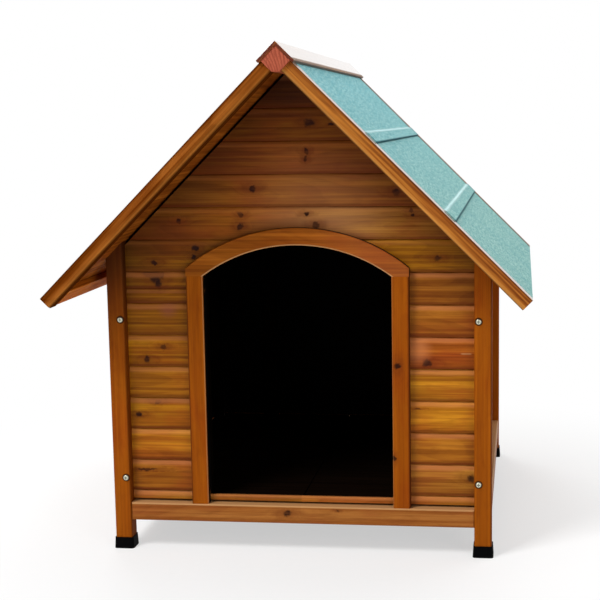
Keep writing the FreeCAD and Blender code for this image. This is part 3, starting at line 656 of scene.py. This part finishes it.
def dress_legs_and_rails():
    """Legs darker in a ring round their bolts, the front ones with painted shade along an edge,
    and rails worn, with a painted highlight, along their upper edges.
    """
    bolt_rims = [(disc(sign * BOLT_LINE, height, 0.0068, 0.0098, 0.9), BOLT_RING_DARK)
                 for sign in (-1, 1) for height in BOLT_HEIGHTS]
    # Painted shade along the inner edge of the front left leg, on its top under the left roof
    # slope, and along the outer edge of the front right leg.
    inner_edge = (beyond(X, -LEG_IN - 0.0045, -LEG_IN - 0.001, 0.55), EDGE_SHADE)
    outer_edge = (beyond(X, LEG_OUT - 0.005, LEG_OUT - 0.001, 0.6), EDGE_SHADE)
    special = {"front_left_leg": [inner_edge, slope_shade("left", 0.8)],
               "front_right_leg": [outer_edge]}
    legs = sorted(name for name in nodes if name.endswith("_leg"))
    for number, name in enumerate(legs):
        dress(name, wood(name, ALONG_Z, FRAME, 60.1 + 2.3 * number,
                         tints=bolt_rims + special.get(name, [])))

    # Wear and a painted highlight along the rails' upper edges.
    worn_and_lit = [(beyond(Z, RAIL_TOP - 0.004, RAIL_TOP - 0.0015, 0.6), WORN_LIT_EDGE)]
    dress("front_rail", wood("front_rail", ALONG_X, RAIL, 71.3, RAIL_KNOTS, tints=worn_and_lit))
    dress("rear_rail", wood("rear_rail", ALONG_X, RAIL, 73.3, scatter=True, tints=worn_and_lit))
    for number, side in enumerate(("left", "right")):
        dress(side + "_rail", wood(side + "_rail", ALONG_Y, RAIL, 75.3 + number, scatter=True,
                                   tints=worn_and_lit))


def dress_doorway():
    """Stiles and arched head, with painted shade on the sides that face into the doorway and on
    the stiles' outer sides and edges, and wear with a painted highlight along their inner front
    edges.
    """
    front = beyond(-Y, -TRIM_FACE - 0.002, -TRIM_FACE - 0.001)
    jamb = beyond(Y, TRIM_FACE + 0.002, TRIM_FACE + 0.006)
    outer = DOOR_HALF + TRIM_WIDTH
    for number, (side, sign, worn_lit_share) in enumerate((("left", -1, 0.4), ("right", 1, 0.15))):
        out = sign * X
        outer_side = both(jamb, beyond(out, DOOR_HALF + 0.02, DOOR_HALF + 0.022, 0.8))
        inner_side = both(jamb, beyond(-out, -DOOR_HALF - 0.022, -DOOR_HALF - 0.02))
        outer_edge = beyond(out, outer - 0.0045, outer - 0.001, 0.7)
        inner_edge = beyond(-out, -DOOR_HALF - 0.0026, -DOOR_HALF - 0.001, worn_lit_share)
        tints = [(outer_side, EDGE_SHADE), (inner_side, INSIDE_SHADE), (outer_edge, EDGE_SHADE),
                 (both(inner_edge, front), WORN_LIT_EDGE)]
        dress("door_%s_stile" % side, wood("%s_stile" % side, ALONG_Z, FRAME, 81.7 + number,
                                           STILE_KNOTS[side], tints=tints))
    tints = [(beyond(X, 0.0, 0.16, 0.35), ARCH_RED), (jamb, INSIDE_SHADE),
             (both(arch_edge(0.0035, 0.6), front), WORN_LIT_EDGE)]
    dress("door_arch_head", wood("arch_head", ALONG_X, ARCH, 85.1, tints=tints))


# ---------------------------------------------------------------- roof
CAP_SOFTNESS = 0.0012      # width of the bevel on the ridge caps and the ridge beam
EAVE_SOFTNESS = 0.0015     # width of the bevel on the eave battens
SHARP = math.radians(40)   # edges that turn more than this are softened
WELD_GAP = 0.00001
DECK_PITCH = 0.0907        # width of a roof board


def soften(name, width):
    """Takes the sharpness off the sawn edges of a plain board."""
    piece = nodes[name]
    weld = piece.modifiers.new("weld", "WELD")
    weld.merge_threshold = WELD_GAP
    bevel = piece.modifiers.new("bevel", "BEVEL")
    bevel.width = width
    bevel.segments = 2
    bevel.limit_method = "ANGLE"
    bevel.angle_limit = SHARP


def dress_verge(side, end, ahead, grain, seed):
    """A verge batten: painted shade as a dark outline above, a painted golden highlight below,
    painted shade underneath, and weathering with a painted sheen on top.
    """
    down, outward = grain[0], grain[1]
    name = "%s_%s_verge_batten" % (side, end)
    under, over = span(name, outward)
    highlight_share = 0.12 if side == "left" else 0.4
    gold_highlight = beyond(-outward, -under - 0.010, -under - 0.004, highlight_share)
    dark_line = beyond(outward, over - 0.005, over - 0.001, 0.6)
    # The darker verge look is painted shade; the front right verge gets the lighter look and a
    # stronger painted sheen.
    look, bleach_sheen = SHADED_TRIM, 0.16
    if name == "right_front_verge_batten":
        look, bleach_sheen = LIT_TRIM, 0.55         # the one that shines in the photo
    # Painted shade: the front left verge is made darker than the others.
    cast = (0.88, 0.78, 0.66) if name == "left_front_verge_batten" else (0.92, 0.90, 0.86)
    tints = [(both(facing(ahead, 0.0, 0.3), gold_highlight), GOLD_HIGHLIGHT),
             (both(facing(ahead, 0.5, 0.8), dark_line), EDGE_SHADE),
             (facing(-outward, 0.5, 0.85, 0.62), UNDERSIDE_SHADE),
             (weathered_sheen(down, Y, bleach_sheen), BLEACH_AND_SHEEN)]
    dress(name, wood(name, grain, look, seed, tints=tints, casts=(cast, cast, 0.2)))


def dress_cap(name, across, down, seed):
    """A ridge cap board: bleached with a painted sheen and shiny above, with a dull dark border at
    its low edge and painted shade on its down-slope edge face.
    """
    lowest = span(name, down)[1]
    border = beyond(down, lowest - 0.011, lowest - 0.006)
    tints = [(weathered_sheen(Y, down, 0.5), BLEACH_AND_SHEEN),
             (both(border, facing(Z, 0.3, 0.5, 0.85)), CAP_BORDER),
             (facing(down, 0.5, 0.8, 0.9), CAP_EDGE_SHADE)]
    dress(name, wood(name, across, CAP, seed, matt=border, tints=tints))


def dress_roof():
    sides = (("left", ALONG_LEFT_SLOPE), ("right", ALONG_RIGHT_SLOPE))
    for number, (side, grain) in enumerate(sides):
        down, outward = grain[0], grain[1]
        for end, ahead in (("front", -Y), ("rear", Y)):
            dress_verge(side, end, ahead, grain, 91.3 + 3 * number + len(end))
        across = (Y, down, outward)
        dress_cap(side + "_ridge_cap", across, down, 97.7 + number)
        dress(side + "_eave_batten",
              wood(side + "_eave_batten", across, EAVE, 101.7 + number))
        dress(side + "_roof_boards",
              wood(side + "_roof_boards", across, DECK, 103.1 + number,
                   rows=[(down, 0.0, DECK_PITCH)], scatter=True))
        dress(side + "_roof_rafters",
              wood(side + "_roof_rafters", grain, INNER, 107.1 + number))
        dress(side + "_roof_felt", felt(side + "_felt", down))
        soften(side + "_ridge_cap", CAP_SOFTNESS)
        soften(side + "_eave_batten", EAVE_SOFTNESS)
    dress("ridge_beam", wood("ridge_beam", ALONG_Y, BEAM, 111.9))
    soften("ridge_beam", CAP_SOFTNESS)


# ---------------------------------------------------------------- inside
FLOOR_PITCH = 0.1          # width of a floor board


def dress_inside():
    """Hidden framing and the two floor panels, as dark as the photo's doorway."""
    # Painted shade: the INNER and FLOOR wood is nearly black, and so is the hidden part of the
    # corner studs.
    inner = wood("inner_upright", ALONG_Z, INNER, 121.3)
    for name in ("gable_wall_studs", "side_wall_studs"):
        dress(name, inner)
    hidden = [(between(X, -LEG_IN, LEG_IN, 0.002), INSIDE_SHADE)]
    dress("corner_studs", wood("corner_studs", ALONG_Z, FRAME, 119.3, tints=hidden))
    for name in ("front_gable_rafters", "rear_gable_rafters"):
        dress(name, wood(name, ALONG_RIGHT_SLOPE, INNER, 123.3))
    dress("floor_cleats", wood("floor_cleats", ALONG_Y, INNER, 125.3))
    dress("floor_joist", wood("floor_joist", ALONG_Y, INNER, 127.3))
    for side in ("left", "right"):
        boards, battens = side + "_floor_boards", side + "_floor_battens"
        dress(boards, wood(boards, FLAT_ALONG_X, FLOOR, 129.3, rows=[(Y, 0.0, FLOOR_PITCH)]))
        dress(battens, wood(battens, ALONG_Y, FLOOR, 131.3))


# ---------------------------------------------------------------- felt, metal and plastic
FELT_LAPS = (-0.503, -0.291)       # where each lap starts, down the slope
FELT_LAP_WIDTH = 0.027
FELT_HEIGHTS = (0.62, 1.02)        # where the felt has its low colour, and its high one
FELT_LOW = paint(146, 200, 192)
FELT_HIGH = paint(116, 188, 198)
GRANULE_LIGHT = paint(200, 232, 224)
GRANULE_DARK = paint(70, 132, 142)
COARSE_DARK = paint(88, 150, 156)
COARSE_LIGHT = paint(178, 216, 210)
CLUMP_DARK = paint(80, 150, 158)
CLUMP_LIGHT = paint(200, 234, 232)
CLOUDED = paint(104, 172, 178)
# Painted highlight and painted shadow at each lap of the felt.
LAP_HIGHLIGHT = paint(206, 232, 234)
LAP_SHADOW = paint(20, 74, 84)
FELT_REAR = paint(62, 84, 80)
FELT_CUT = paint(40, 92, 100)


def felt(name, down):
    """Roofing felt with pale blue-green mineral granules and a ridge at each lap, drawn with a
    painted highlight and a painted shadow.
    """
    g = Graph(name)
    granule = g.node("TexVoronoi", {"Vector": g.place, "Scale": 420.0, "Randomness": 1.0})
    shade = g.node("SeparateColor", {"Color": granule.outputs["Color"]}).outputs[0]
    slope = g.dot(g.place, down)
    run = g.dot(g.place, Y)
    grains = g.noise(g.place, 620.0, 2.0, 0.6)
    coarse = g.noise(g.place, 170.0, 3.0, 0.65)
    clump = g.noise(g.vector(g.times(run, 52.0), g.times(slope, 150.0)), 1.0, 2.0, 0.7)
    cloud = g.noise(g.place, 14.0, 3.0, 0.6)
    colour = g.mix(g.smooth(g.dot(g.place, Z), *FELT_HEIGHTS), FELT_LOW, FELT_HIGH)
    # Each fleck: its field, where it starts and is full, its share and its colour.
    for field, start, full, share, fleck in (
            (shade, 0.55, 0.95, 0.75, GRANULE_LIGHT), (shade, 0.4, 0.05, 0.6, GRANULE_DARK),
            (coarse, 0.5, 0.72, 0.5, COARSE_DARK), (coarse, 0.48, 0.3, 0.35, COARSE_LIGHT),
            (clump, 0.52, 0.64, 0.42, CLUMP_DARK), (clump, 0.48, 0.36, 0.42, CLUMP_LIGHT),
            (cloud, 0.45, 0.7, 0.3, CLOUDED)):
        colour = g.mix(g.times(g.smooth(field, start, full), share), colour, fleck)
    # Each lap: a painted highlight on its ramp and a painted shadow at its lower edge.
    for lap in FELT_LAPS:
        end = lap + FELT_LAP_WIDTH
        worn_and_lit = g.add(slope, g.times(g.less(coarse, 0.5), 0.008))
        ramp = g.times(g.smooth(worn_and_lit, lap - 0.008, lap - 0.003),
                       g.smooth(worn_and_lit, lap + 0.005, lap))
        edge = g.times(g.smooth(slope, end - 0.0035, end - 0.001),
                       g.smooth(slope, end + 0.004, end + 0.0005))
        colour = g.mix(g.times(ramp, 0.6), colour, LAP_HIGHLIGHT)
        colour = g.mix(g.times(edge, 0.85), colour, LAP_SHADOW)
    rear = g.smooth(run, FELT_END - 0.026, FELT_END - 0.010)
    colour = g.mix(g.times(rear, 0.6), colour, FELT_REAR)
    ends = g.smooth(g.math("ABSOLUTE", run), FELT_END - 0.005, FELT_END - 0.001)
    colour = g.mix(g.times(ends, 0.4), colour, FELT_CUT)
    relief = g.add(g.times(grains, 0.6), g.add(g.times(shade, 0.6), g.times(coarse, 0.8)))
    return g.finish(colour, 0.9, g.bump(relief, 0.0010, 0.7), 0.0, {"Specular IOR Level": 0.12})


def zinc():
    """Zinc-plated steel, with painted shade in the cross slot and round the rim of each bolt head.
    """
    g = Graph("zinc_plated_steel")
    cloud = g.noise(g.place, 400.0, 3.0, 0.6)
    colour = g.mix(cloud, paint(188, 188, 168), paint(228, 228, 208))
    side = g.math("ABSOLUTE", g.less(g.math("ABSOLUTE", g.dot(g.place, X)), BOLT_LINE))
    low_bolt, high_bolt = (g.math("ABSOLUTE", g.less(g.dot(g.place, Z), height))
                           for height in BOLT_HEIGHTS)
    rise = g.math("MINIMUM", low_bolt, high_bolt)
    thin = g.smooth(g.math("MINIMUM", side, rise), 0.0011, 0.0006)
    reach = g.smooth(g.math("MAXIMUM", side, rise), 0.0037, 0.0032)
    rim = g.smooth(g.length(side, rise), 0.0036, 0.0058)
    colour = g.mix(g.times(g.times(thin, reach), 0.8), colour, paint(54, 60, 48))
    colour = g.mix(g.times(rim, 0.7), colour, paint(96, 100, 84))
    rough = g.math("MULTIPLY_ADD", cloud, 0.2, 0.25)
    return g.finish(colour, rough, g.bump(cloud, 0.0001, 0.3), 0.0, {"Metallic": 1.0})


def black_plastic():
    """Dull plastic of the foot caps, with a little dust."""
    g = Graph("black_plastic")
    spark = g.noise(g.place, 1400.0, 2.0, 0.6)
    dust = g.noise(g.place, 30.0, 3.0, 0.6)
    colour = g.mix(g.times(g.smooth(dust, 0.5, 0.8), 0.3), paint(3, 3, 4), paint(12, 11, 10))
    rough = g.math("MULTIPLY_ADD", spark, 0.2, 0.5)
    return g.finish(colour, rough, g.bump(spark, 0.0002, 0.5), 0.0, {"Specular IOR Level": 0.03})


def dress_hardware():
    metal = zinc()
    dress("leg_bolts", metal)
    dress("roof_screws", metal)
    plastic = black_plastic()
    for name in nodes:
        if name.endswith("foot_cap"):
            dress(name, plastic)


# ---------------------------------------------------------------- stage and light
WHITE = (1, 1, 1, 1)
WORLD_LIGHT = 0.24
STAGE_HALF = 12.0          # half the side of the pale floor
STAGE_FADE = (0.5, 1.3)    # distance from the middle where it starts to fade to white, and ends
SHADOW_LIFT = 0.55         # white mixed into the floor that the camera sees
LAMP_AIM = Vector((0, 0, 0.5))
# Name, place, size in metres and power in watts of each soft lamp.
LAMPS = (
    ("key", (-2.0, -2.9, 4.2), 1.6, 185.0),
    ("fill", (2.8, -3.8, 1.5), 2.0, 34.0),
    ("top", (0.9, 1.0, 3.6), 2.4, 60.0),
    ("back", (-1.5, 3.5, 2.4), 2.0, 60.0),
)


def make_floor():
    """Pale floor that keeps the shadow near the object and fades to white round it."""
    mesh = bpy.data.meshes.new("floor")
    corners = [(x * STAGE_HALF, y * STAGE_HALF, 0)
               for x, y in ((-1, -1), (1, -1), (1, 1), (-1, 1))]
    mesh.from_pydata(corners, [], [(0, 1, 2, 3)])
    floor = bpy.data.objects.new("floor", mesh)
    bpy.context.scene.collection.objects.link(floor)
    g = Graph("pale_floor")
    grain = g.noise(g.place, 60.0, 3.0, 0.5)
    colour = g.mix(grain, paint(250, 250, 250), paint(254, 254, 254))
    surface = g.node("BsdfDiffuse", {"Color": colour})
    white = g.node("Emission", {"Color": WHITE, "Strength": 1.0})
    far = g.length(g.dot(g.place, X), g.dot(g.place, Y))
    path = g.node("LightPath")
    seen = g.math("MAXIMUM", path.outputs["Is Camera Ray"], path.outputs["Is Glossy Ray"])
    seen = g.math("MAXIMUM", seen, path.outputs["Is Transmission Ray"])
    faded = g.smooth(far, *STAGE_FADE)
    share = g.math("MULTIPLY_ADD", faded, 1.0 - SHADOW_LIFT, SHADOW_LIFT)
    blend = g.node("MixShader", {0: g.times(share, seen)})
    g.tree.links.new(surface.outputs[0], blend.inputs[1])
    g.tree.links.new(white.outputs[0], blend.inputs[2])
    g.tree.links.new(blend.outputs[0], g.node("OutputMaterial").inputs[0])
    mesh.materials.append(g.material)


def make_world():
    """Soft grey light all round, and plain white where the camera or a gloss looks at it."""
    world = bpy.data.worlds.new("world")
    bpy.context.scene.world = world
    world.use_nodes = True
    tree = world.node_tree
    tree.nodes.clear()
    soft = tree.nodes.new("ShaderNodeBackground")
    soft.inputs["Color"].default_value = WHITE
    soft.inputs["Strength"].default_value = WORLD_LIGHT
    white = tree.nodes.new("ShaderNodeBackground")
    white.inputs["Color"].default_value = WHITE
    path = tree.nodes.new("ShaderNodeLightPath")
    seen = path.outputs["Is Camera Ray"]
    for kind in ("Is Glossy Ray", "Is Transmission Ray"):
        either = tree.nodes.new("ShaderNodeMath")
        either.operation = "MAXIMUM"
        tree.links.new(seen, either.inputs[0])
        tree.links.new(path.outputs[kind], either.inputs[1])
        seen = either.outputs[0]
    blend = tree.nodes.new("ShaderNodeMixShader")
    output = tree.nodes.new("ShaderNodeOutputWorld")
    tree.links.new(seen, blend.inputs[0])
    tree.links.new(soft.outputs[0], blend.inputs[1])
    tree.links.new(white.outputs[0], blend.inputs[2])
    tree.links.new(blend.outputs[0], output.inputs[0])


def make_lamps():
    """Soft square lamps, all aimed at the middle of the object."""
    for name, place, size, power in LAMPS:
        data = bpy.data.lights.new(name, "AREA")
        data.size = size
        data.energy = power
        lamp = bpy.data.objects.new(name, data)
        lamp.location = place
        lamp.rotation_mode = "QUATERNION"
        lamp.rotation_quaternion = (LAMP_AIM - lamp.location).to_track_quat("-Z", "Y")
        bpy.context.scene.collection.objects.link(lamp)


bpy.context.scene.view_settings.view_transform = "Standard"
make_camera()
make_world()
make_lamps()
make_floor()
dress_front_boards()
dress_other_walls()
dress_legs_and_rails()
dress_doorway()
dress_roof()
dress_inside()
dress_hardware()
